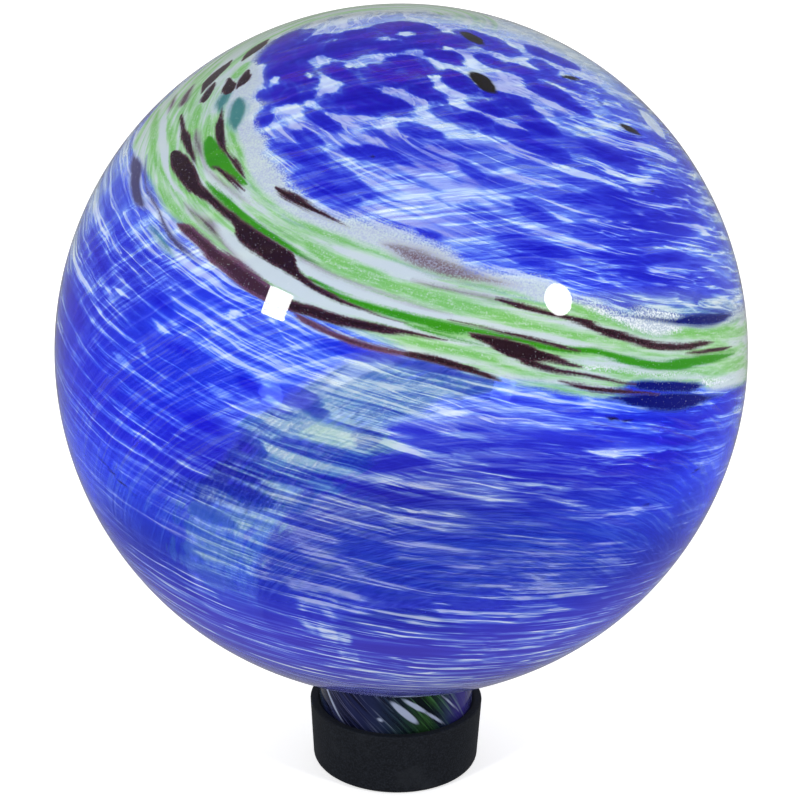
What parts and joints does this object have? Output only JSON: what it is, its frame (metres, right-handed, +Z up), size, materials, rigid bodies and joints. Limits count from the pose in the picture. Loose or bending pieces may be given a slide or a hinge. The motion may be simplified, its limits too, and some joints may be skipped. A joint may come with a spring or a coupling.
{
  "type": "gazing ball",
  "caption": "Hollow blown-glass garden ball with swirled colour, drawn out below into a short neck that a black rubber cap closes; it stands on the cap or drops neck-first into a stand.",
  "frame": {"origin": "middle of the flat underside of the rubber cap, which the ball stands on", "axes": "+Z up along the axis that the ball, its neck and the cap share; -Y faces the viewer of the picture"},
  "size_m": [0.254, 0.254, 0.2969],
  "materials": {
    "coloured_glass": "fire-polished clear glass over swirled cobalt blue, white, green and dark brown chips",
    "black_rubber": "matt, fine grained"
  },
  "bodies": {
    "root": {"glass_ball": "coloured_glass", "neck_cap": "black_rubber"}
  },
  "joints": []
}
